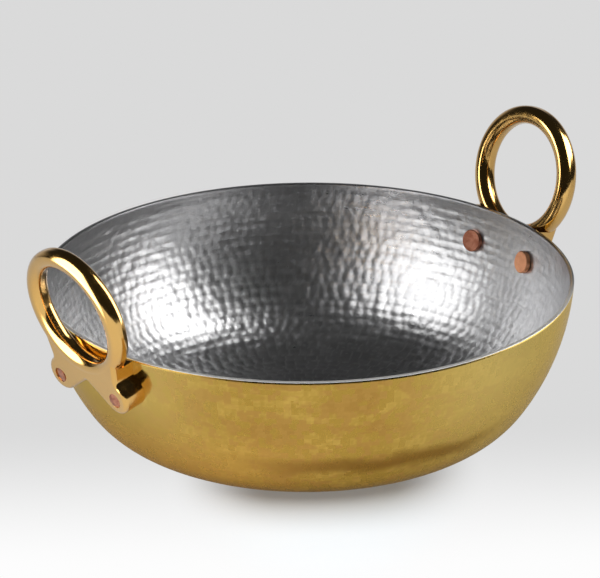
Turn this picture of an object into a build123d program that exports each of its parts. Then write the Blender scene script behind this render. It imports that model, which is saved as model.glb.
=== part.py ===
from math import acos, asin, cos, degrees, radians, sin, sqrt
import os

from build123d import *

# Hammered brass kadai: a round-sided pan, tinned inside, with two cast ring handles.
# Each handle is held by two copper rivets. Lengths are in millimetres and angles in degrees.
# The origin is the centre of the flat base, +Z points up, and the handles lie on the X axis.

# Bowl
rim_radius = 125.0
bowl_depth = 75.0
brass_wall = 1.7
tin_coat = 0.3
rim_flare = 4.7  # how far the wall leans out at the rim
side_radius = 113.5  # arc of the side, in section
shoulder_slope = 55.6  # slope of the wall where the side arc meets the shoulder arc

# Handle casting: a ring standing on a plate that forks into two feet
ring_hole_radius = 24.1
ring_width = 8.6
ring_thickness = 9.4
ring_round = 4.0
ring_rise = 40.1  # ring centre above the seat line, along the handle
ring_standoff = 8.5  # front of the ring from the wall, at the seat line
plate_step = 0.1  # front of the plate behind the front of the ring
plate_edge_round = 2.0
plate_inset = 0.8  # how far the plate reaches inside the middle of the ring's section
seat_drop = 19.0  # seat line below the rim: the handle lies parallel to the wall there
foot_radius = 8.4
waist_spread = 1.8  # how far outside a foot's middle the side line of the plate ends
waist_round = 4.0
notch_rise = 5.6  # top of the notch between the feet, above the seat line
notch_round = 2.6
pad_rise = 18.0  # the plate fills the gap to the wall up to this height

# Copper rivets
rivet_pitch = 37.4  # between the two rivets of a handle, on the outside of the wall
rivet_drop = 17.2  # below the rim, on the outside of the wall
foot_above_rivet = 0.9  # middle of a foot above its rivet, on the front of the plate
foot_inside_rivet = 0.5  # and nearer to the middle line than its rivet
shank_radius = 2.7
head_radius = 5.3
head_height = 2.2
head_chamfer = 0.35
tail_radius = 3.6
tail_depth = 1.6
tail_recess = 0.25  # edge of the tail behind the front of the plate
tail_dome = 0.5
rivet_fit = 0.05

overrun = 10.0  # how far cutting bodies run past what they cut


def out_of_wall(slope):
    """Unit vector square to the wall, pointing out, where the wall has this slope."""
    return Vector(sin(radians(slope)), 0, -cos(radians(slope)))


# Section of the bowl: two arcs from the rim to the flat base
rim_point = Vector(rim_radius, 0, bowl_depth)
side_centre = rim_point - out_of_wall(90 - rim_flare) * side_radius
shoulder_start = side_centre + out_of_wall(shoulder_slope) * side_radius
shoulder_radius = shoulder_start.Z / (1 - cos(radians(shoulder_slope)))
shoulder_centre = shoulder_start - out_of_wall(shoulder_slope) * shoulder_radius
wall = brass_wall + tin_coat


def slope_at(height, radius):
    """Slope of a side arc of this radius at a height."""
    return degrees(acos((side_centre.Z - height) / radius))


def outer_radius_at(height):
    """Radius of the outside of the wall at a height on the side arc."""
    return side_centre.X + sqrt(side_radius**2 - (height - side_centre.Z) ** 2)


def bowl_solid(inset, top):
    """Solid of revolution that lies inset from the outside of the wall, up to a height."""
    side = side_radius - inset
    side_sweep = slope_at(top, side) - shoulder_slope
    with BuildPart() as body:
        with BuildSketch(Plane.XZ):
            with BuildLine():
                base = Line((0, inset), (shoulder_centre.X, inset))
                shoulder_middle = (shoulder_centre.X, shoulder_centre.Z)
                CenterArc(shoulder_middle, shoulder_radius - inset, -90, shoulder_slope)
                side_middle = (side_centre.X, side_centre.Z)
                side_arc = CenterArc(side_middle, side, shoulder_slope - 90, side_sweep)
                Polyline(side_arc @ 1, (0, top), base @ 0)
            make_face()
        revolve(axis=Axis.Z)
    return body.part


whole_bowl = bowl_solid(0, bowl_depth)
inner_space = bowl_solid(wall, bowl_depth)
handle_cutter = bowl_solid(0, bowl_depth + overrun)

# Plane of the handle: its origin is on the wall, and its Z axis is square to the wall there
seat_height = bowl_depth - seat_drop
seat_out = out_of_wall(slope_at(seat_height, side_radius))
seat_point = Vector(outer_radius_at(seat_height), 0, seat_height)
handle_plane = Plane(origin=seat_point, x_dir=(0, 1, 0), z_dir=seat_out)
plate_front = ring_standoff - plate_step
ring_middle = ring_standoff - ring_thickness / 2
ring_middle_radius = ring_hole_radius + ring_width / 2

# Rivets: they lean as the handle does, and point at the axis of the bowl from above
rivet_height = bowl_depth - rivet_drop
rivet_radius = outer_radius_at(rivet_height)
rivet_turn = degrees(asin(rivet_pitch / 2 / rivet_radius))
rivet_start = Plane(origin=(rivet_radius, 0, rivet_height), x_dir=(0, 1, 0), z_dir=seat_out)
sides = (1, -1)
ends = {"right": 0, "left": 180}


def rivet_plane(side):
    """Plane on the outside of the wall at a rivet, with its Z axis along the rivet."""
    return Plane(Rotation(0, 0, side * rivet_turn) * rivet_start.location)


# Where a rivet comes through the front of the plate, in the plane of the handle
rivet_out = rivet_plane(1).z_dir
rivet_gap = plate_front - handle_plane.to_local_coords(rivet_plane(1).origin).Z
stack = rivet_gap / rivet_out.dot(seat_out)
rivet_front = handle_plane.to_local_coords(rivet_plane(1).origin + rivet_out * stack)
tail_end = stack - tail_recess


def shank(fit, start, dome):
    """Shank of a rivet and its coned tail, grown by a fit, from a height on the Z axis."""
    radius = shank_radius + fit
    tail = tail_radius + fit
    cone_start = tail_end - tail_depth
    with BuildPart() as body:
        with BuildSketch(Plane.XZ):
            with BuildLine():
                Polyline((0, tail_end + dome), (0, start), (radius, start), (radius, cone_start))
                Line((radius, cone_start), (tail, tail_end))
                TangentArc((0, tail_end + dome), (tail, tail_end), tangent=(1, 0))
            make_face()
        revolve(axis=Axis.Z)
    return body.part


def rivet_hole():
    """Hole for a rivet on the Z axis, open at both ends."""
    with BuildPart() as body:
        add(shank(rivet_fit, -wall - overrun, tail_dome))
        with BuildSketch(Plane.XY.offset(tail_end)):
            Circle(tail_radius + rivet_fit)
        extrude(amount=overrun)
    return body.part


hole = rivet_hole()


def cut_rivet_holes(turn):
    """Takes the two rivet holes at one end of the bowl out of the part that is being built."""
    for side in sides:
        add(Rotation(0, 0, turn) * rivet_plane(side).location * hole, mode=Mode.SUBTRACT)


os.makedirs("parts", exist_ok=True)

# Brass pan, hammered from one disc
with BuildPart() as bowl:
    add(whole_bowl)
    split(bisect_by=Plane.XY.offset(bowl_depth - tin_coat), keep=Keep.BOTTOM)
    add(bowl_solid(brass_wall, bowl_depth), mode=Mode.SUBTRACT)
    for turn in ends.values():
        cut_rivet_holes(turn)
bowl.part.label = "bowl"
export_step(bowl.part, "parts/bowl.step")

# Tin coat on the inside, turned over the edge of the rim
with BuildPart() as tin_lining:
    add(whole_bowl)
    split(bisect_by=Plane.XY.offset(bowl_depth - tin_coat), keep=Keep.TOP)
    add(bowl_solid(brass_wall, bowl_depth))
    add(inner_space, mode=Mode.SUBTRACT)
    for turn in ends.values():
        cut_rivet_holes(turn)
tin_lining.part.label = "tin_lining"
export_step(tin_lining.part, "parts/tin_lining.step")

# Points of the plate's outline, seen from its front
foot = Vector(rivet_front.X - foot_inside_rivet, rivet_front.Y + foot_above_rivet)
notch = Vector(0, notch_rise)
notch_to_foot = foot - notch
tangent_length = sqrt(notch_to_foot.length**2 - foot_radius**2)
tangent_turn = degrees(asin(foot_radius / notch_to_foot.length))
tangent_end = notch + notch_to_foot.normalized().rotate(Axis.Z, -tangent_turn) * tangent_length


def mirrored(point):
    """The same point on the other side of the handle's middle line."""
    return Vector(-point.X, point.Y)


def plate_outline():
    """Sketch of the plate: sides that run from the ring to the feet, and a notch between them."""
    waist_end = foot + Vector(waist_spread, 0)
    ring_side = Vector(ring_middle_radius, ring_rise)
    half = [notch, tangent_end, waist_end, ring_side]
    with BuildSketch() as sketch:
        with BuildLine():
            Polyline(*half, *[mirrored(point) for point in reversed(half[1:])], close=True)
        make_face()
        with Locations(foot, mirrored(foot)):
            Circle(foot_radius)
        between = sketch.vertices().filter_by(lambda v: foot.Y < v.Y < ring_rise)
        fillet(between.filter_by(lambda v: abs(v.X) > foot.X), waist_round)
        notch_corner = sketch.vertices().sort_by_distance(notch)[0]
        fillet(notch_corner, notch_round)
    return sketch.sketch


def ring():
    """Ring of the handle, in the frame of the handle plane."""
    turn_axis = Axis((0, ring_rise, 0), (0, 0, 1))
    section = Plane(origin=(0, ring_rise, ring_middle), x_dir=(1, 0, 0), z_dir=(0, -1, 0))
    with BuildPart() as body:
        with BuildSketch(section):
            with Locations((ring_middle_radius, 0)):
                RectangleRounded(ring_width, ring_thickness, ring_round)
        revolve(axis=turn_axis)
    return body.part


def plate():
    """Plate of the handle, still too deep at the back, in the frame of the handle plane."""
    with BuildPart() as body:
        with BuildSketch(Plane.XY.offset(-overrun)):
            add(plate_outline())
        extrude(amount=overrun + plate_front)
        front_edges = body.faces().sort_by(Axis.Z)[-1].edges()
        fillet(front_edges.filter_by(lambda e: e.center().Y < ring_rise), plate_edge_round)
        with BuildSketch(Plane.XY.offset(-overrun)):
            with Locations((0, ring_rise)):
                Circle(ring_middle_radius - plate_inset)
        extrude(amount=overrun + ring_standoff, mode=Mode.SUBTRACT)
        with BuildSketch(Plane.XY.offset(-overrun)):
            with Locations((0, pad_rise)):
                above_pad = ring_rise - pad_rise + overrun
                Rectangle(2 * ring_middle_radius, above_pad, align=(Align.CENTER, Align.MIN))
        extrude(amount=overrun + ring_middle, mode=Mode.SUBTRACT)
    return body.part


# Cast ring handle: polished brass in one piece, its back shaped to the wall
with BuildPart() as handle_right:
    add(handle_plane.location * ring())
    add(handle_plane.location * plate())
    add(handle_cutter, mode=Mode.SUBTRACT)
    cut_rivet_holes(ends["right"])
handle_right.part.label = "handle_right"
export_step(handle_right.part, "parts/handle_right.step")

with BuildPart() as handle_left:
    add(Rotation(0, 0, ends["left"]) * handle_right.part)
handle_left.part.label = "handle_left"
export_step(handle_left.part, "parts/handle_left.step")

# Copper rivets: a flat head on the tin, a shank through the wall, and a tail spread in the plate
with BuildPart() as head:
    with BuildSketch(Plane.XY.offset(-wall - head_height)):
        Circle(head_radius)
    extrude(amount=head_height + wall)
    chamfer(head.faces().sort_by(Axis.Z)[0].edges(), head_chamfer)


def rivet(side):
    """Rivet of the right-hand handle, on one side of its middle line."""
    place = rivet_plane(side).location
    with BuildPart() as body:
        add(place * head.part)
        add(inner_space, mode=Mode.INTERSECT)
        add(place * shank(0, -wall - head_chamfer, tail_dome))
    return body.part


for end, turn in ends.items():
    for side in sides:
        # The back of the pan is on the +Y side
        place = "back" if side * cos(radians(turn)) > 0 else "front"
        with BuildPart() as fastener:
            add(Rotation(0, 0, turn) * rivet(side))
        fastener.part.label = f"rivet_{end}_{place}"
        export_step(fastener.part, f"parts/{fastener.part.label}.step")
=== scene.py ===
"""Dressed model of a hammered brass kadai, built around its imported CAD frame.

All lengths are in metres and all angles in degrees unless a name says otherwise. The origin
is the centre of the flat base, +Z is up, and the two ring handles lie on the X axis.
"""

import logging
import math
from dataclasses import dataclass, field
from enum import Enum
from typing import Any, Sequence, Union

import bpy
import numpy as np
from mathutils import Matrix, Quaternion, Vector


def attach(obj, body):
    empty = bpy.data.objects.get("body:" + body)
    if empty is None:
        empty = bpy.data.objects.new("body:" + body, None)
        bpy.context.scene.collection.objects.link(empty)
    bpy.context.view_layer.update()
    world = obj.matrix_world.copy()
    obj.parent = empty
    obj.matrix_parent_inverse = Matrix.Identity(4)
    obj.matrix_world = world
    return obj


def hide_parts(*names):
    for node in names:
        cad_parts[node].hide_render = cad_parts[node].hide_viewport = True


LOG = logging.getLogger("kadai")
MM = 0.001

Triple = tuple[float, float, float]
Span = tuple[float, float]
Layers = dict[str, np.ndarray]

UP: Triple = (0.0, 0.0, 1.0)


# ---- Shader expressions ----


class Value:
    """A number that runs through a shader graph; sums on it add Math nodes."""

    def __init__(self, graph: "Graph", socket: bpy.types.NodeSocket) -> None:
        """Wraps one output socket of a graph."""
        self.graph = graph
        self.socket = socket

    def __add__(self, other: "Number") -> "Value":
        """Sum."""
        return self.graph.math("ADD", self, other)

    __radd__ = __add__

    def __sub__(self, other: "Number") -> "Value":
        """Difference."""
        return self.graph.math("SUBTRACT", self, other)

    def __rsub__(self, other: "Number") -> "Value":
        """Difference from a number."""
        return self.graph.math("SUBTRACT", other, self)

    def __mul__(self, other: "Number") -> "Value":
        """Product."""
        return self.graph.math("MULTIPLY", self, other)

    __rmul__ = __mul__

    def __truediv__(self, other: "Number") -> "Value":
        """Quotient."""
        return self.graph.math("DIVIDE", self, other)

    def __abs__(self) -> "Value":
        """Size without its sign."""
        return self.graph.math("ABSOLUTE", self)

    def power(self, exponent: "Number") -> "Value":
        """This value to a power."""
        return self.graph.math("POWER", self, exponent)

    def maximum(self, other: "Number") -> "Value":
        """The larger of two values."""
        return self.graph.math("MAXIMUM", self, other)

    def ramp(self, low: float, high: float, start: float = 0.0, end: float = 1.0) -> "Value":
        """Smooth step from one value to another.

        Args:
            low: input at which the step starts.
            high: input at which it ends.
            start: result below the step.
            end: result above it.

        Returns:
            The stepped value.
        """
        node = self.graph.node(
            "ShaderNodeMapRange",
            {"interpolation_type": "SMOOTHSTEP"},
            {"Value": self, "From Min": low, "From Max": high, "To Min": start, "To Max": end},
        )
        return Value(self.graph, node.outputs["Result"])


Number = Union[Value, float]


class Graph:
    """Builds the nodes of one material or world."""

    def __init__(self, owner: Union[bpy.types.Material, bpy.types.World]) -> None:
        """Starts from an empty node tree.

        Args:
            owner: material or world whose nodes are built.
        """
        owner.use_nodes = True
        self.tree = owner.node_tree
        self.tree.nodes.clear()

    def node(
        self,
        kind: str,
        settings: dict[str, Any] | None = None,
        inputs: dict[Any, Any] | None = None,
    ) -> bpy.types.Node:
        """Adds a node, sets it up and fills its sockets.

        Args:
            kind: type of the node.
            settings: properties of the node, set before its sockets.
            inputs: values or links by socket name or number.

        Returns:
            The node.
        """
        made = self.tree.nodes.new(kind)
        for name, setting in (settings or {}).items():
            setattr(made, name, setting)
        for name, content in (inputs or {}).items():
            self.fill(made.inputs[name], content)
        return made

    def fill(self, socket: bpy.types.NodeSocket, content: Any) -> None:
        """Links a socket to an output, or sets its own value.

        Args:
            socket: the input socket.
            content: a Value or an output socket to link, or a plain number or colour.
        """
        source = content.socket if isinstance(content, Value) else content
        if isinstance(source, bpy.types.NodeSocket):
            self.tree.links.new(source, socket)
        else:
            socket.default_value = source

    def math(self, operation: str, *terms: Number) -> Value:
        """One Math node.

        Args:
            operation: its operation.
            terms: its operands.

        Returns:
            Its result.
        """
        made = self.node("ShaderNodeMath", {"operation": operation}, dict(enumerate(terms)))
        return Value(self, made.outputs[0])

    def attribute(self, name: str) -> Value:
        """A number stored on the mesh."""
        made = self.node("ShaderNodeAttribute", {"attribute_name": name})
        return Value(self, made.outputs["Fac"])

    def noise(
        self, where: Any, scale: float, detail: float = 2.0, distortion: float = 0.0
    ) -> Value:
        """Noise around 0.5.

        Args:
            where: coordinates.
            scale: features per metre.
            detail: octaves.
            distortion: swirl.

        Returns:
            The noise.
        """
        made = self.node(
            "ShaderNodeTexNoise",
            {"noise_dimensions": "3D"},
            {"Vector": where, "Scale": scale, "Detail": detail, "Distortion": distortion},
        )
        return Value(self, made.outputs[0])

    def place(self) -> bpy.types.NodeSocket:
        """Coordinates on the object, in metres."""
        return self.node("ShaderNodeTexCoord").outputs["Object"]

    def vectors(self, operation: str, first: Any, second: Any) -> bpy.types.Node:
        """One Vector Math node."""
        return self.node("ShaderNodeVectorMath", {"operation": operation}, {0: first, 1: second})

    def along(self, where: Any, axis: Sequence[float]) -> Value:
        """Length of a vector along an axis."""
        return Value(self, self.vectors("DOT_PRODUCT", where, tuple(axis)).outputs["Value"])

    def distance(self, where: Any, spot: Triple) -> Value:
        """Distance from a spot."""
        return Value(self, self.vectors("DISTANCE", where, spot).outputs["Value"])

    def tint(self, colour: Any, filter_colour: Triple) -> bpy.types.NodeSocket:
        """Colour seen through a filter."""
        return self.vectors("MULTIPLY", colour, filter_colour).outputs["Vector"]

    def stretched(self, where: Any, scale: Triple) -> bpy.types.NodeSocket:
        """Coordinates scaled along each axis."""
        made = self.node(
            "ShaderNodeMapping", {"vector_type": "POINT"}, {"Vector": where, "Scale": scale}
        )
        return made.outputs["Vector"]

    def blend(self, share: Number, first: Any, second: Any) -> bpy.types.NodeSocket:
        """Mixes two colours.

        Args:
            share: share of the second colour.
            first: first colour.
            second: second colour.

        Returns:
            The mixed colour.
        """
        # Inputs 6 and 7 and output 2 are those that the node keeps for colours.
        colours = {6: _colour(first), 7: _colour(second)}
        made = self.node("ShaderNodeMix", {"data_type": "RGBA"}, {0: share, **colours})
        return made.outputs[2]

    def bump(self, height: Value, strength: float, distance: float) -> bpy.types.NodeSocket:
        """Normal of a bumped surface."""
        made = self.node(
            "ShaderNodeBump", None, {"Strength": strength, "Distance": distance, "Height": height}
        )
        return made.outputs["Normal"]

    def output(self, shader: bpy.types.Node) -> None:
        """Ends a material in the output of a shader node."""
        self.node("ShaderNodeOutputMaterial", None, {"Surface": shader.outputs[0]})

    def principled(self, inputs: dict[str, Any]) -> None:
        """Ends a material in a Principled shader with these inputs."""
        self.output(self.node("ShaderNodeBsdfPrincipled", None, inputs))


def _colour(content: Any) -> Any:
    """Gives a plain colour its alpha."""
    return (*content, 1.0) if isinstance(content, tuple) and len(content) == 3 else content


def linear(red: int, green: int, blue: int) -> Triple:
    """Scene colour of an 8 bit screen colour."""

    def channel(level: int) -> float:
        """One channel."""
        part = level / 255
        return part / 12.92 if part <= 0.04045 else ((part + 0.055) / 1.055) ** 2.4

    return channel(red), channel(green), channel(blue)


# ---- Finishes ----


@dataclass(frozen=True)
class Patch:
    """Colour laid over one part of the pan's outside.

    Attributes:
        colour: its colour.
        toward: level direction from the middle of the pan to it.
        reach: ends of the smooth step over which it comes up.
        share: how much it hides of the colour under it.
    """

    colour: Triple
    toward: Triple
    reach: Span
    share: float


@dataclass(frozen=True)
class HammeredBrass:
    """Satin brass with the marks of a planishing hammer.

    Attributes:
        light, dark: colours of the marks.
        glance: tint of the metal seen at a low angle.
        worn: brown wear, whose reach is one of noise and place together.
        pale: painted reflection, paler brass at both ends of its direction (the sides in view).
        stain: dark line low on the wall, with its height, waves and half width.
        low_left_sheen: painted reflection, warm pale brass near the base on the -X side,
        with the heights over which it ends.
        seat: middle of one foot of a handle, mirrored for the others, with the distances
            over which the metal round it turns from polished to satin.
    """

    light: Triple = linear(200, 163, 80)
    dark: Triple = linear(172, 137, 60)
    glance: Triple = linear(248, 230, 196)
    worn: Patch = Patch(linear(168, 124, 62), (-0.935, -0.353, 0.0), (0.70, 0.82), 0.7)
    pale: Patch = Patch(linear(214, 188, 112), (0.774, -0.633, 0.0), (25 * MM, 115 * MM), 0.8)
    stain: Patch = Patch(linear(128, 90, 38), (-0.375, -0.927, 0.0), (85 * MM, 106 * MM), 0.85)
    stain_height: float = 25.5 * MM
    stain_wave: float = 12 * MM
    stain_width: Span = (1 * MM, 8 * MM)
    low_left_sheen: Patch = Patch(linear(226, 172, 88), (-1.0, 0.0, 0.0), (50 * MM, 95 * MM), 0.4)
    low_left_sheen_height: Span = (16 * MM, 50 * MM)
    seat: Triple = (119.7 * MM, 18.7 * MM, 56 * MM)
    seat_reach: Span = (13 * MM, 32 * MM)
    seat_polish: float = 0.35
    roughness: float = 0.30
    cloud_scale: float = 9.0
    streak_scale: float = 30.0
    streak_stretch: Triple = (1.0, 1.0, 2.2)
    grain_scale: float = 900.0
    bump_scale: float = 160.0
    bump_strength: float = 0.12
    bump_depth: float = 0.5 * MM

    def colour(self, graph: Graph, where: Any, tone: Value) -> bpy.types.NodeSocket:
        """Colour of the metal, with its wear and stains, and painted reflections low and at its
        sides.

        Args:
            graph: graph of the material.
            where: coordinates on the object.
            tone: tone of each hammer mark.

        Returns:
            The colour.
        """
        cloud = graph.noise(where, self.cloud_scale, 3)
        along_wall = graph.stretched(where, self.streak_stretch)
        streak = graph.noise(along_wall, self.streak_scale, 4, 0.5)
        marks = (graph.attribute("ridge") - 0.5) * 0.5 + (tone - 0.5) * 1.4
        marks = marks * streak.ramp(0.35, 0.65, 0.5, 1.0)
        share = (marks + (cloud - 0.5) * 0.9 + 0.5).ramp(0.0, 1.0)
        colour = graph.blend(share, self.dark, self.light)

        worn = streak * 1.2 + graph.along(where, self.worn.toward) * 1.6 + (tone - 0.5) * 0.36
        worn = worn.ramp(*self.worn.reach)
        colour = graph.blend(worn * self.worn.share, colour, self.worn.colour)

        # Painted reflection: paler brass at the pan's left and right sides as the camera sees
        # them.
        pale = abs(graph.along(where, self.pale.toward)).ramp(*self.pale.reach)
        colour = graph.blend(pale * self.pale.share, colour, self.pale.colour)

        height = graph.along(where, UP) + (streak - 0.5) * self.stain_wave
        stain = graph.along(where, self.stain.toward).ramp(*self.stain.reach)
        stain = stain * abs(height - self.stain_height).ramp(*self.stain_width, 1.0, 0.0)
        colour = graph.blend(stain * self.stain.share, colour, self.stain.colour)

        # Painted reflection: warm pale brass near the base on the -X side, to the left in view.
        low_left_sheen = graph.along(where, self.low_left_sheen.toward).ramp(*self.low_left_sheen.reach)
        low_left_sheen = low_left_sheen * height.ramp(*self.low_left_sheen_height, 1.0, 0.0)
        return graph.blend(low_left_sheen * self.low_left_sheen.share, colour, self.low_left_sheen.colour)

    def rough(self, graph: Graph, where: Any, tone: Value) -> Value:
        """Roughness of the metal, less round each foot of the handles.

        Args:
            graph: graph of the material.
            where: coordinates on the object.
            tone: tone of each hammer mark.

        Returns:
            The roughness.
        """
        grain = graph.noise(where, self.grain_scale, 2)
        rough = self.roughness + (grain - 0.5) * 0.04 + (tone - 0.5) * 0.10
        for end in (1.0, -1.0):
            for side in (1.0, -1.0):
                seat = (end * self.seat[0], side * self.seat[1], self.seat[2])
                away = graph.distance(where, seat)
                rough = rough * away.ramp(*self.seat_reach, self.seat_polish, 1.0)
        return rough

    def material(self) -> bpy.types.Material:
        """Material of the outside of the pan."""
        made = bpy.data.materials.new("hammered_brass")
        graph = Graph(made)
        where = graph.place()
        tone = graph.attribute("tone")
        waves = graph.noise(where, self.bump_scale, 2)
        graph.principled(
            {
                "Base Color": self.colour(graph, where, tone),
                "Metallic": 1.0,
                "Roughness": self.rough(graph, where, tone),
                "Normal": graph.bump(waves, self.bump_strength, self.bump_depth),
                "Specular Tint": (*self.glance, 1.0),
            }
        )
        return made


@dataclass(frozen=True)
class WipedTin:
    """Tin wiped over hammered metal.

    Attributes:
        light, dark: colours of its clouds.
        rubbed: colour of the ridges, which show most low in the pan.
        edge, far_rim_shade: painted highlight on the rim on the side of `front`, and painted
        shade on the rim on the other side.
        front: level direction from the middle of the pan to its front.
        edge_height: heights over which the rim begins.
        edge_reach: lengths along `front` over which the rim turns from one to the other.
        edge_dull: how much less metallic the front rim is, part of its painted highlight.
        rub_height: heights over which the rubbed ridges fade.
    """

    light: Triple = (0.70, 0.70, 0.705)
    dark: Triple = (0.53, 0.53, 0.54)
    rubbed: Triple = (0.92, 0.92, 0.92)
    edge: Triple = (0.80, 0.79, 0.76)
    far_rim_shade: Triple = (0.42, 0.42, 0.43)
    front: Triple = (-0.633, -0.774, 0.0)
    edge_height: Span = (74.4 * MM, 74.8 * MM)
    edge_reach: Span = (-10 * MM, 30 * MM)
    edge_dull: float = 0.3
    rub_height: Span = (15 * MM, 60 * MM)
    roughness: float = 0.31
    cloud_scale: float = 14.0
    smear_scale: float = 120.0
    smear_stretch: Triple = (1.0, 1.0, 4.0)
    bump_scale: float = 420.0
    bump_strength: float = 0.13
    bump_depth: float = 0.6 * MM

    def material(self) -> bpy.types.Material:
        """Material of the inside of the pan."""
        made = bpy.data.materials.new("tin")
        graph = Graph(made)
        where = graph.place()
        height = graph.along(where, UP)
        cloud = graph.noise(where, self.cloud_scale, 3)
        smear = graph.noise(graph.stretched(where, self.smear_stretch), self.smear_scale, 3)

        share = (cloud - 0.5) * 1.2 + graph.attribute("tone") * 0.3 + 0.35
        colour = graph.blend(share.ramp(0.0, 1.0), self.dark, self.light)
        ridges = graph.attribute("ridge") * height.ramp(*self.rub_height, 0.8, 0.1)
        colour = graph.blend(ridges, colour, self.rubbed)
        # Rim: painted highlight on the front, toward the camera, and painted shade at the back.
        edge = height.ramp(*self.edge_height)
        front = graph.along(where, self.front).ramp(*self.edge_reach)
        colour = graph.blend(edge, colour, graph.blend(front, self.far_rim_shade, self.edge))

        rough = self.roughness + (smear - 0.5) * 0.16 + (cloud - 0.5) * 0.12
        waves = smear + graph.noise(where, self.bump_scale, 2)
        graph.principled(
            {
                "Base Color": colour,
                "Metallic": 1.0 - edge * front * self.edge_dull,
                "Roughness": rough,
                "Normal": graph.bump(waves, self.bump_strength, self.bump_depth),
            }
        )
        return made


@dataclass(frozen=True)
class PolishedBrass:
    """Cast brass under a mirror polish and a clear lacquer.

    Attributes:
        light, dark: colours of its clouds.
        roughness: roughness of metal and lacquer.
        haze_start, haze_share: noise above which the metal is hazy, and how much.
        lacquer, lacquer_ior: weight of the lacquer, and how strongly it reflects.
    """

    light: Triple = linear(224, 178, 98)
    dark: Triple = linear(206, 156, 77)
    roughness: float = 0.12
    haze_start: float = 0.4
    haze_share: float = 0.2
    lacquer: float = 0.6
    lacquer_ior: float = 1.6
    cloud_scale: float = 40.0
    haze_scale: float = 300.0
    bump_scale: float = 90.0
    bump_strength: float = 0.10
    bump_depth: float = 0.6 * MM

    def material(self) -> bpy.types.Material:
        """Material of the handles."""
        made = bpy.data.materials.new("polished_brass")
        graph = Graph(made)
        where = graph.place()
        cloud = graph.noise(where, self.cloud_scale, 2)
        haze = (graph.noise(where, self.haze_scale, 3) - self.haze_start).maximum(0.0)
        waves = graph.noise(where, self.bump_scale, 1)
        graph.principled(
            {
                "Base Color": graph.blend(cloud, self.dark, self.light),
                "Metallic": 1.0,
                "Roughness": haze * self.haze_share + self.roughness,
                "Normal": graph.bump(waves, self.bump_strength, self.bump_depth),
                "Coat Weight": self.lacquer,
                "Coat Roughness": self.roughness,
                "Coat IOR": self.lacquer_ior,
            }
        )
        return made


@dataclass(frozen=True)
class SatinCopper:
    """Copper of the rivets, marked by the hammer that set them.

    Attributes:
        name: name of the material.
        light, dark: colours of clean and stained copper.
        stain_reach: noise over which one turns into the other.
    """

    name: str = "copper"
    light: Triple = linear(194, 134, 108)
    dark: Triple = linear(160, 100, 78)
    stain_reach: Span = (0.32, 0.68)
    roughness: float = 0.34
    stain_scale: float = 260.0
    bump_scale: float = 900.0
    bump_strength: float = 0.12
    bump_depth: float = 0.2 * MM

    def material(self) -> bpy.types.Material:
        """Material of the rivets."""
        made = bpy.data.materials.new(self.name)
        graph = Graph(made)
        where = graph.place()
        stain = graph.noise(where, self.stain_scale, 3, 0.4)
        waves = graph.noise(where, self.bump_scale, 2)
        graph.principled(
            {
                "Base Color": graph.blend(stain.ramp(*self.stain_reach), self.dark, self.light),
                "Metallic": 1.0,
                "Roughness": self.roughness + (stain - 0.5) * 0.2,
                "Normal": graph.bump(waves, self.bump_strength, self.bump_depth),
            }
        )
        return made


# ---- Pan ----

# Level of a point that no hammer mark has reached.
UNSTRUCK = -1e9


@dataclass(frozen=True)
class Section:
    """Half section of the pan: two arcs from the rim to the flat base.

    Attributes:
        rim_radius: radius of the rim.
        depth: height of the rim.
        rim_flare: how far the wall leans out at the rim.
        side_radius: radius of the side arc.
        shoulder_slope: slope of the wall where the side arc meets the shoulder arc.
    """

    rim_radius: float = 125.0 * MM
    depth: float = 75.0 * MM
    rim_flare: float = 4.7
    side_radius: float = 113.5 * MM
    shoulder_slope: float = 55.6

    @property
    def side_centre(self) -> tuple[float, float]:
        """Middle of the side arc, as radius and height."""
        slope = math.radians(90 - self.rim_flare)
        return (
            self.rim_radius - self.side_radius * math.sin(slope),
            self.depth + self.side_radius * math.cos(slope),
        )

    @property
    def shoulder(self) -> tuple[float, float]:
        """Radius of the shoulder arc, and radius of the flat base."""
        slope = math.radians(self.shoulder_slope)
        across, up = self.side_centre
        across += self.side_radius * math.sin(slope)
        up -= self.side_radius * math.cos(slope)
        radius = up / (1 - math.cos(slope))
        return radius, across - radius * math.sin(slope)

    def walk(self, inset: float, top: float, rows: int) -> np.ndarray:
        """Points along the wall from the middle of the base to a height, evenly spaced.

        Args:
            inset: distance from the outside of the wall.
            top: height at which the walk ends.
            rows: number of points.

        Returns:
            One row per point: length walked, radius, height, and the wall's outward normal.
        """
        radius, base = self.shoulder
        radius -= inset
        side = self.side_radius - inset
        low = math.radians(self.shoulder_slope)
        high = math.acos((self.side_centre[1] - top) / side)
        ends = [base, base + radius * low, base + radius * low + side * (high - low)]
        walked = np.linspace(0.0, ends[2], rows)
        slope = np.where(
            walked < ends[1],
            np.clip((walked - base) / radius, 0.0, None),
            low + (walked - ends[1]) / side,
        )
        on_side = walked >= ends[1]
        across = np.where(on_side, self.side_centre[0], base)
        up = np.where(on_side, self.side_centre[1], radius + inset)
        bend = np.where(on_side, side, radius)
        out = np.where(walked < base, walked, across + bend * np.sin(slope))
        height = np.where(walked < base, inset, up - bend * np.cos(slope))
        return np.stack([walked, out, height, np.sin(slope), -np.cos(slope)], 1)


@dataclass(frozen=True)
class Row:
    """One row of hammer marks.

    Attributes:
        at: length from the middle of the base to the row.
        pitch: distance between its marks.
        phase: turn of the row, in marks.
        stretch: length of a mark round the pan, over its length up the wall.
        face: radius of the hammer's face.
    """

    at: float
    pitch: float
    phase: float
    stretch: float
    face: float


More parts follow.
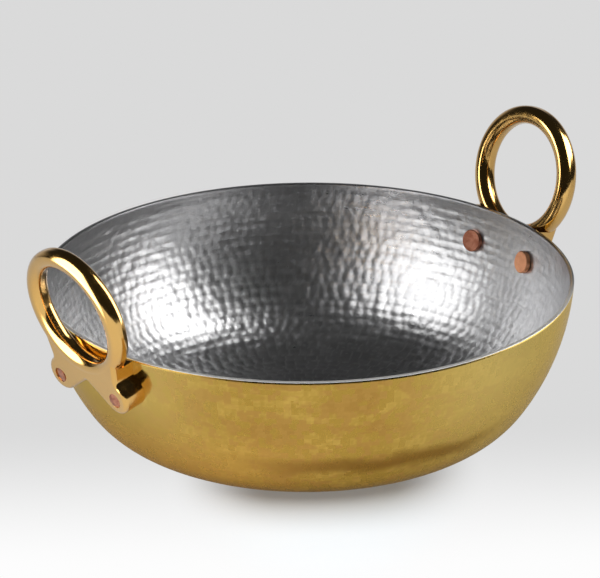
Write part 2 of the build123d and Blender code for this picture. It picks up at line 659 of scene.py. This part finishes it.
@dataclass
class HammerWork:
    """Rows of hammer marks that run round the pan, from the middle of the base to the rim.

    Attributes:
        seed: seed of the random draws.
        pitch_base, pitch_rim: distance between marks, in the middle and at the rim.
        face_base, face_rim: radius of the hammer's face, there.
        depth: depth of the deepest mark.
        wander: how far the marks stray from their places, in pitches.
        length: length from the middle of the base to the rim.
        stretch_rim: length of a mark round the pan, over its length up the wall, at the rim.
        stretch_rise: power by which that stretch grows with the length.
        row_gap: distance between rows, in pitches.
        row_reach: distance from its row at which a mark has ended, in pitches.
        face_spread: least and most of a mark's radius, over that of the face.
        depth_spread: most that a mark may be shallower, in its own sags.
        ridge_share: share of the depth over which the flank of a ridge counts as ridge.
    """

    seed: int
    pitch_base: float
    pitch_rim: float
    face_base: float
    face_rim: float
    depth: float
    wander: float
    length: float
    stretch_rim: float = 1.0
    stretch_rise: float = 0.8
    row_gap: float = 0.92
    row_reach: float = 1.7
    face_spread: Span = (0.85, 1.2)
    depth_spread: float = 0.5
    ridge_share: float = 0.5

    def __post_init__(self) -> None:
        """Lays the rows out."""
        self.dice = np.random.default_rng(self.seed)
        self.rows: list[Row] = []
        at = 0.0
        while at < self.length + self.pitch_rim:
            share = min(at / self.length, 1.0)
            pitch = self.pitch_base + (self.pitch_rim - self.pitch_base) * share
            stretch = 1.0 + (self.stretch_rim - 1.0) * share**self.stretch_rise
            face = self.face_base + (self.face_rim - self.face_base) * share
            self.rows.append(Row(at, pitch, self.dice.random(), stretch, face))
            at += pitch * self.row_gap

    def strike(self, walked: np.ndarray, radius: np.ndarray, columns: int) -> Layers:
        """Depth of the marks over a grid of points.

        Args:
            walked: length from the middle of the base of each row of points.
            radius: radius of each row of points.
            columns: points in each row.

        Returns:
            Depth below the ridges, nearness to a ridge and tone of the mark, per point.
        """
        angle = np.arange(columns) * (2 * math.pi / columns)
        best = np.full((len(walked), columns), UNSTRUCK)
        second = np.full_like(best, UNSTRUCK)
        tone = np.zeros_like(best)
        for row in self.rows:
            near = np.nonzero(np.abs(walked - row.at) < row.pitch * self.row_reach)[0]
            ring = max(float(np.interp(row.at, walked, radius)), row.pitch / 2)
            count = max(int(round(2 * math.pi * ring / row.pitch)), 1)
            shift = self.dice.normal(0, self.wander, (count, 2)) * row.pitch
            curve = row.face * self.dice.uniform(*self.face_spread, count)
            sag = row.pitch**2 / (8 * row.face)
            lift = self.depth - sag * self.dice.uniform(0.0, self.depth_spread, count)
            shade = self.dice.random(count)
            if not len(near):
                continue
            step = np.floor(angle / (2 * math.pi) * count - row.phase).astype(int)
            for offset in (-1, 0, 1, 2):
                mark = (step + offset) % count
                where = (step + offset + row.phase) * (2 * math.pi / count)
                away = (angle - where)[None, :] * radius[near][:, None] - shift[mark, 0][None, :]
                along = walked[near][:, None] - row.at - shift[mark, 1][None, :]
                reach = lift[mark] - ((away / row.stretch) ** 2 + along**2) / (2 * curve[mark])
                old = best[near]
                wins = reach > old
                second[near] = np.where(wins, old, np.maximum(second[near], reach))
                best[near] = np.where(wins, reach, old)
                tone[near] = np.where(wins, shade[mark][None, :], tone[near])
        ridge = np.clip(1 - (best - second) / (self.depth * self.ridge_share), 0, 1)
        return {"depth": np.clip(best, 0, None), "ridge": ridge, "tone": tone}


def lathe_faces(count: int, columns: int) -> tuple[np.ndarray, np.ndarray]:
    """Faces between rings of points, with a fan of triangles at each pole.

    Args:
        count: number of rings between the poles.
        columns: points in each ring.

    Returns:
        Corners of all faces, one after the other, and how many each face has.
    """
    start = 1 + np.arange(count)[:, None] * columns
    here = np.arange(columns)[None, :]
    there = (here + 1) % columns
    quads = np.stack(
        [start[:-1] + here, start[:-1] + there, start[1:] + there, start[1:] + here], -1
    ).reshape(-1, 4)
    end = start[-1, 0]
    last_pole = np.full(columns, end + columns)
    first_fan = np.stack([np.zeros(columns, int), 1 + there[0], 1 + here[0]], -1)
    last_fan = np.stack([last_pole, end + here[0], end + there[0]], -1)
    corners = np.concatenate([quads.ravel(), first_fan.ravel(), last_fan.ravel()])
    sizes = np.concatenate([np.full(len(quads), 4), np.full(2 * columns, 3)])
    return corners, sizes


def lathe(name: str, rings: np.ndarray, layers: Layers) -> bpy.types.Object:
    """Closed mesh from rings of points, with a pole at each end.

    Args:
        name: name of the object.
        rings: array of ring, point and coordinate; the first and last ring lie on the axis.
        layers: numbers per ring and point to store on the mesh; "tone" goes on whole faces.

    Returns:
        The object, smooth shaded.
    """
    columns = rings.shape[1]
    points = np.concatenate([rings[:1, 0], rings[1:-1].reshape(-1, 3), rings[-1:, 0]])
    corners, sizes = lathe_faces(rings.shape[0] - 2, columns)
    mesh = bpy.data.meshes.new(name)
    mesh.vertices.add(len(points))
    mesh.vertices.foreach_set("co", points.ravel())
    mesh.loops.add(len(corners))
    mesh.loops.foreach_set("vertex_index", corners)
    mesh.polygons.add(len(sizes))
    mesh.polygons.foreach_set("loop_start", np.concatenate([[0], np.cumsum(sizes)[:-1]]))
    mesh.update(calc_edges=True)
    mesh.validate()
    mesh.polygons.foreach_set("use_smooth", np.ones(len(mesh.polygons), bool))
    for layer, numbers in layers.items():
        by_face = layer == "tone"
        held = mesh.attributes.new(layer, "FLOAT", "FACE" if by_face else "POINT")
        if by_face:
            flat = np.concatenate([numbers[1:-2].ravel(), np.repeat(numbers[[0, -1], 0], columns)])
        else:
            flat = np.concatenate([numbers[:1, 0], numbers[1:-1].ravel(), numbers[-1:, 0]])
        held.data.foreach_set("value", flat.astype(np.float32))
    made = bpy.data.objects.new(name, mesh)
    bpy.context.scene.collection.objects.link(made)
    return made


def dress(piece: bpy.types.Object, finish: bpy.types.Material) -> None:
    """Gives a piece its only material."""
    piece.data.materials.clear()
    piece.data.materials.append(finish)


def stand_for(piece: bpy.types.Object, node: str, finish: bpy.types.Material) -> None:
    """Dresses a piece and puts it in the place of a CAD node.

    Args:
        piece: the finished piece.
        node: CAD node that it stands for.
        finish: its material.
    """
    dress(piece, finish)
    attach(piece, "root")
    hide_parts(node)


@dataclass
class Pan:
    """Brass pan and the tin coat inside it.

    Attributes:
        section: half section of the outside.
        columns: points round the pan.
        outer_rows, inner_rows, back_rows: points up the outside, the inside and the hidden faces.
        brass, tin: thickness of each.
        brass_back, tin_back: depth in the wall at which the hidden faces of each lie.
        rim_round: rounding of the rim's inner edge.
        lip_edge, lip_round, lip_drop: rounding of the rim's outer edge.
        lip_bevel: share of rim_round at which its middle lies.
        outer_fade, inner_fade: lengths below the rim over which the hammer marks fade out.
        centre_fade: radius over which they fade out in the middle of the base.
    """

    section: Section = field(default_factory=Section)
    columns: int = 672
    outer_rows: int = 132
    inner_rows: int = 134
    back_rows: int = 10
    brass: float = 1.7 * MM
    tin: float = 0.3 * MM
    brass_back: float = 0.5 * MM
    tin_back: float = 0.8 * MM
    rim_round: float = 0.25 * MM
    lip_edge: float = 0.02 * MM
    lip_round: float = 0.12 * MM
    lip_drop: float = 0.1 * MM
    lip_bevel: float = 0.3
    outer_fade: float = 4 * MM
    inner_fade: float = 5 * MM
    centre_fade: float = 4 * MM

    def ring_of(self, radius: np.ndarray, height: np.ndarray) -> np.ndarray:
        """Turns radius and height into rings of points.

        Args:
            radius: radius of each ring, or of each of its points.
            height: height of each ring, or of each of its points.

        Returns:
            Array of ring, point and coordinate.
        """
        angle = np.arange(self.columns) * (2 * math.pi / self.columns)
        radius = np.broadcast_to(np.atleast_2d(radius.T).T, (len(radius), self.columns))
        height = np.broadcast_to(np.atleast_2d(height.T).T, (len(height), self.columns))
        return np.stack([radius * np.cos(angle), radius * np.sin(angle), height], -1)

    def hammered(
        self, walk: np.ndarray, work: HammerWork, sign: float, fade: float
    ) -> tuple[np.ndarray, Layers]:
        """Rings of a hammered surface.

        Args:
            walk: points along the wall.
            work: the hammer marks.
            sign: 1 where the marks go out of the pan and -1 where they go in.
            fade: length below the rim over which the marks fade out.

        Returns:
            The rings, and the layers of the marks.
        """
        marks = work.strike(walk[:, 0], walk[:, 1], self.columns)
        hold = np.clip((walk[-1, 0] - walk[:, 0]) / fade, 0, 1)
        hold = hold * np.clip(walk[:, 0] / self.centre_fade, 0, 1)
        push = sign * marks["depth"] * hold[:, None]
        radius = walk[:, 1][:, None] + push * walk[:, 3][:, None]
        height = walk[:, 2][:, None] + push * walk[:, 4][:, None]
        return self.ring_of(radius, height), marks

    def plain(self, radius: np.ndarray, height: np.ndarray) -> tuple[np.ndarray, Layers]:
        """Rings of a surface without marks."""
        return self.ring_of(radius, height), {}

    def shell(self, name: str, faces: Sequence[tuple[np.ndarray, Layers]]) -> bpy.types.Object:
        """Closed shell from runs of rings, each with or without marks.

        Args:
            name: name of the object.
            faces: rings and layers of each run, from one pole to the other.

        Returns:
            The object.
        """
        layers: dict[str, list[np.ndarray]] = {"tone": [], "ridge": []}
        for rings, marks in faces:
            for layer, rows in layers.items():
                rows.append(marks.get(layer, np.full(rings.shape[:2], 0.5)))
        joined = {layer: np.concatenate(rows) for layer, rows in layers.items()}
        return lathe(name, np.concatenate([rings for rings, _ in faces]), joined)

    def build_brass(self) -> bpy.types.Object:
        """Brass pan, hammered outside."""
        top = self.section.depth - self.tin
        walk = self.section.walk(0.0, top, self.outer_rows)
        work = HammerWork(
            seed=11,
            pitch_base=3.5 * MM,
            pitch_rim=3.4 * MM,
            face_base=40 * MM,
            face_rim=40 * MM,
            depth=0.06 * MM,
            wander=0.09,
            length=walk[-1, 0],
        )
        back = self.section.walk(self.brass_back, top, self.back_rows)[::-1]
        outside = self.hammered(walk, work, -1.0, self.outer_fade)
        return self.shell("pan_brass", [outside, self.plain(back[:, 1], back[:, 2])])

    def turned_edge(self, inner: float) -> np.ndarray:
        """Points round the rim, where the tin is turned over the brass.

        Args:
            inner: radius at which the inside of the pan ends.

        Returns:
            Radius of each point, and height of each.
        """
        top = self.section.depth
        outer = self.section.walk(0.0, top, 2)[-1, 1]
        under = self.section.walk(0.0, top - self.tin, 2)[-1]
        bevel = self.rim_round * self.lip_bevel
        points = [
            (under[1], under[2]),
            (outer - self.lip_edge, top - self.lip_drop),
            (outer - self.lip_round, top),
            (inner + self.rim_round, top),
            (inner + bevel, top - bevel),
        ]
        return np.array(points).T

    def build_tin(self) -> bpy.types.Object:
        """Tin coat, hammered inside and turned over the rim."""
        top = self.section.depth
        back = self.section.walk(self.tin_back, top - self.tin, self.back_rows)
        walk = self.section.walk(self.brass + self.tin, top - self.rim_round, self.inner_rows)
        work = HammerWork(
            seed=5,
            pitch_base=6.0 * MM,
            pitch_rim=4.1 * MM,
            face_base=5.6 * MM,
            face_rim=10.0 * MM,
            depth=0.40 * MM,
            wander=0.07,
            length=walk[-1, 0],
            stretch_rim=1.4,
        )
        rings, marks = self.hammered(walk, work, 1.0, self.inner_fade)
        inside = rings[::-1], {layer: rows[::-1] for layer, rows in marks.items()}
        turned = self.plain(*self.turned_edge(walk[-1, 1]))
        return self.shell("tin_coat", [self.plain(back[:, 1], back[:, 2]), turned, inside])

    def build(self) -> list[bpy.types.Object]:
        """Builds and dresses the pan.

        Returns:
            The brass and the tin.
        """
        brass = self.build_brass()
        stand_for(brass, "bowl", HammeredBrass().material())
        tin = self.build_tin()
        stand_for(tin, "tin_lining", WipedTin().material())
        return [brass, tin]


# ---- Handles and rivets ----


class Side(Enum):
    """The two ends of the pan that carry a handle."""

    LEFT = "left"
    RIGHT = "right"


RIVET_ENDS = ("front", "back")


@dataclass
class Handle:
    """Cast ring handle with its two rivets: CAD nodes that are shown as they are."""

    side: Side

    def build(
        self, brass: bpy.types.Material, copper: bpy.types.Material, painted_lit_copper: bpy.types.Material
    ) -> list[bpy.types.Object]:
        """Dresses the casting and its rivets.

        Args:
            brass: finish of the casting.
            copper: finish of the rivets.
            painted_lit_copper: finish of the front rivet of the right handle, brighter copper
            as a painted highlight.

        Returns:
            The pieces.
        """
        finishes = {f"handle_{self.side.value}": brass}
        for end in RIVET_ENDS:
            # The right handle's front rivet gets brighter copper: a painted highlight.
            bright = self.side is Side.RIGHT and end == "front"
            finishes[f"rivet_{self.side.value}_{end}"] = painted_lit_copper if bright else copper
        for node, finish in finishes.items():
            dress(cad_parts[node], finish)
        return [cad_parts[node] for node in finishes]


# ---- Stage ----


@dataclass(frozen=True)
class Panel:
    """Upright soft light beside the pan, seen only in reflections. It faces the pan.

    Attributes:
        name: name of the panel.
        right, away, middle: its middle from the pan's middle, to the right of the picture,
            away from the camera, and up.
        width, height: its size.
        strength: strength of its glow.
        lit: pieces that it lights.
        soft: width of its faded edge, as share of its width.
    """

    name: str
    right: float
    away: float
    middle: float
    width: float
    height: float
    strength: float
    lit: tuple[str, ...]
    soft: float = 0.12

    def material(self) -> bpy.types.Material:
        """Glow of a softbox with round corners that fades towards its edge."""
        made = bpy.data.materials.new(self.name)
        graph = Graph(made)
        where = graph.place()
        across = abs(graph.along(where, (1.0, 0.0, 0.0))) / (self.width / 2)
        above = abs(graph.along(where, UP)) / (self.height / 2)
        reach = (across.power(4.0) + above.power(4.0)).power(0.25)
        share = reach.ramp(1 - 2 * self.soft, 1.0, 1.0, 0.0)
        colour = graph.blend(share, (0.0, 0.0, 0.0), (1.0, 1.0, 1.0))
        glow = graph.node("ShaderNodeEmission", None, {"Color": colour, "Strength": self.strength})
        clear = graph.node("ShaderNodeBsdfTransparent")
        both = {0: glow.outputs[0], 1: clear.outputs[0]}
        graph.output(graph.node("ShaderNodeAddShader", None, both))
        return made

    def build(self, right: Vector, away: Vector) -> bpy.types.Object:
        """Builds the panel.

        Args:
            right: the picture's right.
            away: the picture's depth.

        Returns:
            The panel.
        """
        mesh = bpy.data.meshes.new(self.name)
        wide, high = self.width / 2, self.height / 2
        corners = [(-wide, 0, -high), (wide, 0, -high), (wide, 0, high), (-wide, 0, high)]
        mesh.from_pydata(corners, [], [(0, 1, 2, 3)])
        mesh.materials.append(self.material())
        made = bpy.data.objects.new(self.name, mesh)
        bpy.context.scene.collection.objects.link(made)
        spot = right * self.right + away * self.away
        made.location = (spot.x, spot.y, self.middle)
        made.rotation_euler = (0.0, 0.0, math.atan2(spot.y, spot.x) + math.pi / 2)
        made.visible_camera = False
        made.visible_diffuse = False
        made.visible_shadow = False
        made.visible_transmission = False
        held = bpy.data.collections.new(self.name)
        for name in self.lit:
            held.objects.link(bpy.data.objects[name])
        made.light_linking.receiver_collection = held
        return made


@dataclass
class Studio:
    """Floor, lights and camera. Turns are measured from the camera, to its right.

    Attributes:
        camera_turn, camera_rise, camera_roll: angles of the camera.
        camera_distance: its distance from the middle of the rim.
        camera_lens, camera_sensor: focal length and sensor width, in millimetres.
        camera_clip: nearest and farthest distance that it sees.
        rim_height: height of the rim.
        offset_right, offset_up: how far the middle of the rim lies from the picture's middle.
        backdrop: grey that the camera sees behind the pan.
        glow: brightest part of the soft glow that reflections see behind the pan.
        ambient: light from all round.
        floor_*: sides, size, light near the shadow, colours, where they meet, and a cool filter
        painted on the lit floor to offset the warm light that the brass throws into the shadow.
        shadow_*: middle of the shadow ahead of the pan and to its right, radius over which it
            ends, and how much narrower it is across the picture.
        lamp_*: rise, distance, size, width over size, and power of the overhead lamp.
    """

    camera_turn: float = -39.3
    camera_rise: float = 22.08
    camera_roll: float = 0.37
    camera_distance: float = 3.2734
    camera_lens: float = 419.8
    camera_sensor: float = 36.0
    camera_clip: Span = (0.1, 50.0)
    rim_height: float = 75.0 * MM
    offset_right: float = 3.28 * MM
    offset_up: float = 4.63 * MM
    backdrop: float = 0.70
    glow: float = 0.5
    ambient: float = 0.021
    floor_sides: int = 96
    floor_radius: float = 1.1
    floor_glow: float = 0.22
    floor_near: Triple = linear(253, 253, 253)
    floor_far: Triple = linear(218, 218, 218)
    floor_reach: Span = (-165 * MM, 12 * MM)
    floor_filter: Triple = (0.90, 0.955, 1.0)
    shadow_ahead: float = 62.0 * MM
    shadow_right: float = 9.0 * MM
    shadow_reach: Span = (52.0 * MM, 134.0 * MM)
    shadow_squeeze: float = 1.8
    lamp_rise: float = 62.0
    lamp_distance: float = 1.9
    lamp_size: float = 1.9
    lamp_stretch: float = 1.7
    lamp_power: float = 58.0

    def toward(self, turn: float, rise: float) -> Vector:
        """Direction from the pan.

        Args:
            turn: its turn from the camera.
            rise: its rise above level.

        Returns:
            The direction, of length 1.
        """
        turn, rise = math.radians(self.camera_turn + turn), math.radians(rise)
        level = math.cos(rise)
        return Vector((math.sin(turn) * level, -math.cos(turn) * level, math.sin(rise)))

    def camera(self) -> None:
        """Camera at the photograph's place."""
        back = self.toward(0.0, self.camera_rise)
        look = (-back).to_track_quat("-Z", "Y")
        right, up = look @ Vector((1, 0, 0)), look @ Vector((0, 1, 0))
        data = bpy.data.cameras.new("camera")
        data.lens, data.sensor_width = self.camera_lens, self.camera_sensor
        data.clip_start, data.clip_end = self.camera_clip
        made = bpy.data.objects.new("camera", data)
        bpy.context.scene.collection.objects.link(made)
        made.location = (
            Vector((0, 0, self.rim_height))
            + back * self.camera_distance
            - right * self.offset_right
            - up * self.offset_up
        )
        made.rotation_mode = "QUATERNION"
        made.rotation_quaternion = look @ Quaternion((0, 0, 1), math.radians(-self.camera_roll))
        bpy.context.scene.camera = made

    def world(self) -> None:
        """Dark studio with a soft glow behind the pan; the camera sees a pale backdrop."""
        made = bpy.data.worlds.new("studio")
        graph = Graph(made)
        direction = graph.node("ShaderNodeTexCoord").outputs["Generated"]
        behind = graph.along(direction, self.toward(180.0, 0.0)).ramp(0.35, 0.85, 0.0, self.glow)
        low = graph.along(direction, UP).ramp(0.05, 0.4, 1.0, 0.0)
        light = behind * low + self.ambient
        seen = Value(graph, graph.node("ShaderNodeLightPath").outputs["Is Camera Ray"])
        light = seen * self.backdrop + (1.0 - seen) * light
        inputs = {"Color": (1.0, 1.0, 1.0, 1.0), "Strength": light}
        background = graph.node("ShaderNodeBackground", None, inputs)
        graph.node("ShaderNodeOutputWorld", None, {"Surface": background.outputs[0]})
        bpy.context.scene.world = made
        made.cycles_visibility.diffuse = False

    def panels(self) -> None:
        """Soft lights just outside the picture, left and right, set for each piece they light."""
        rivets = tuple(f"rivet_{side.value}_{end}" for side in Side for end in RIVET_ENDS)
        pan = ("pan_brass", "tin_coat") + rivets
        near, far = ("handle_left",), ("handle_right",)
        for panel in (
            Panel("pan_light_left", -0.29, -0.10, 0.245, 0.54, 0.54, 2.1, pan, 0.30),
            Panel("pan_light_right", 0.32, 0.03, 0.40, 0.31, 0.84, 3.3, pan, 0.26),
            Panel("near_light_left", -0.215, -0.130, 0.17, 0.18, 0.30, 6.5, near),
            Panel("near_light_right", 0.32, 0.0, 0.41, 0.32, 0.90, 6.0, near),
            Panel("far_light_left", -0.20, 0.06, 0.165, 0.07, 0.16, 8.0, far),
            Panel("far_light_right", 0.29, 0.06, 0.25, 0.24, 0.20, 8.0, far),
        ):
            panel.build(self.toward(90.0, 0.0), self.toward(180.0, 0.0))

    def lamp(self) -> None:
        """Large soft lamp above and in front, for the floor and its shadow."""
        data = bpy.data.lights.new("overhead", "AREA")
        data.shape, data.energy = "ELLIPSE", self.lamp_power
        data.size, data.size_y = self.lamp_size * self.lamp_stretch, self.lamp_size
        made = bpy.data.objects.new("overhead", data)
        bpy.context.scene.collection.objects.link(made)
        direction = self.toward(0.0, self.lamp_rise)
        made.location = direction * self.lamp_distance
        made.rotation_mode = "QUATERNION"
        made.rotation_quaternion = (-direction).to_track_quat("-Z", "Y")
        made.visible_glossy = False

    def floor_material(self) -> bpy.types.Material:
        """Fades from grey behind the pan to white in front; lit and shaded only near the pan."""
        made = bpy.data.materials.new("floor")
        graph = Graph(made)
        where = graph.place()
        depth = graph.along(where, self.toward(180.0, 0.0))
        across = graph.along(where, self.toward(90.0, 0.0))
        colour = graph.blend(depth.ramp(*self.floor_reach), self.floor_near, self.floor_far)
        # Painted cool tint: offsets the warm light that the brass throws into the floor's shadow.
        filtered = {"Color": graph.tint(colour, self.floor_filter)}
        diffuse = graph.node("ShaderNodeBsdfDiffuse", None, filtered)
        glow = graph.node("ShaderNodeEmission", None, {"Color": colour, "Strength": 1.0})
        aside = (across - self.shadow_right) * self.shadow_squeeze
        away = ((depth + self.shadow_ahead).power(2.0) + aside.power(2.0)).power(0.5)
        clear = away.ramp(*self.shadow_reach, self.floor_glow, 1.0)
        path = graph.node("ShaderNodeLightPath")
        seen = Value(graph, path.outputs["Is Camera Ray"]) * clear
        seen = seen + Value(graph, path.outputs["Is Glossy Ray"]) * self.floor_glow
        shaders = {0: seen, 1: diffuse.outputs[0], 2: glow.outputs[0]}
        graph.output(graph.node("ShaderNodeMixShader", None, shaders))
        return made

    def floor(self) -> None:
        """Round floor under the pan."""
        mesh = bpy.data.meshes.new("floor")
        turns = [index * 2 * math.pi / self.floor_sides for index in range(self.floor_sides)]
        radius = self.floor_radius
        edge = [(radius * math.cos(turn), radius * math.sin(turn), 0.0) for turn in turns]
        mesh.from_pydata(edge, [], [tuple(range(self.floor_sides))])
        mesh.materials.append(self.floor_material())
        made = bpy.data.objects.new("floor", mesh)
        bpy.context.scene.collection.objects.link(made)

    def build(self) -> None:
        """Builds the whole stage."""
        self.camera()
        self.world()
        self.panels()
        self.lamp()
        self.floor()
        bpy.context.scene.view_settings.view_transform = "Standard"


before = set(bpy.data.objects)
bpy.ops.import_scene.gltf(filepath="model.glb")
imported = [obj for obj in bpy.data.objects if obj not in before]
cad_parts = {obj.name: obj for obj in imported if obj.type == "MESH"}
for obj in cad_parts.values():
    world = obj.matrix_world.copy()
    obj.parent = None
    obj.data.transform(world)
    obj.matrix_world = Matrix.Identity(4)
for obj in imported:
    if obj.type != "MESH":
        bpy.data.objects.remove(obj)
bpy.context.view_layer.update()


def main() -> None:
    """Builds the pan, the handles and the stage."""
    logging.basicConfig(level=logging.INFO, format="%(name)s: %(message)s")
    pieces = Pan().build()
    brass, copper = PolishedBrass().material(), SatinCopper().material()
    # Brighter copper for one rivet: a painted highlight, not another metal.
    painted_lit_copper = SatinCopper(
        name="copper_painted_lit", light=linear(246, 178, 134), dark=linear(232, 160, 118)
    ).material()
    for side in Side:
        pieces += Handle(side).build(brass, copper, painted_lit_copper)
    Studio().build()
    for piece in pieces:
        LOG.info("%s: %d faces", piece.name, len(piece.data.polygons))


if __name__ == "__main__":
    main()
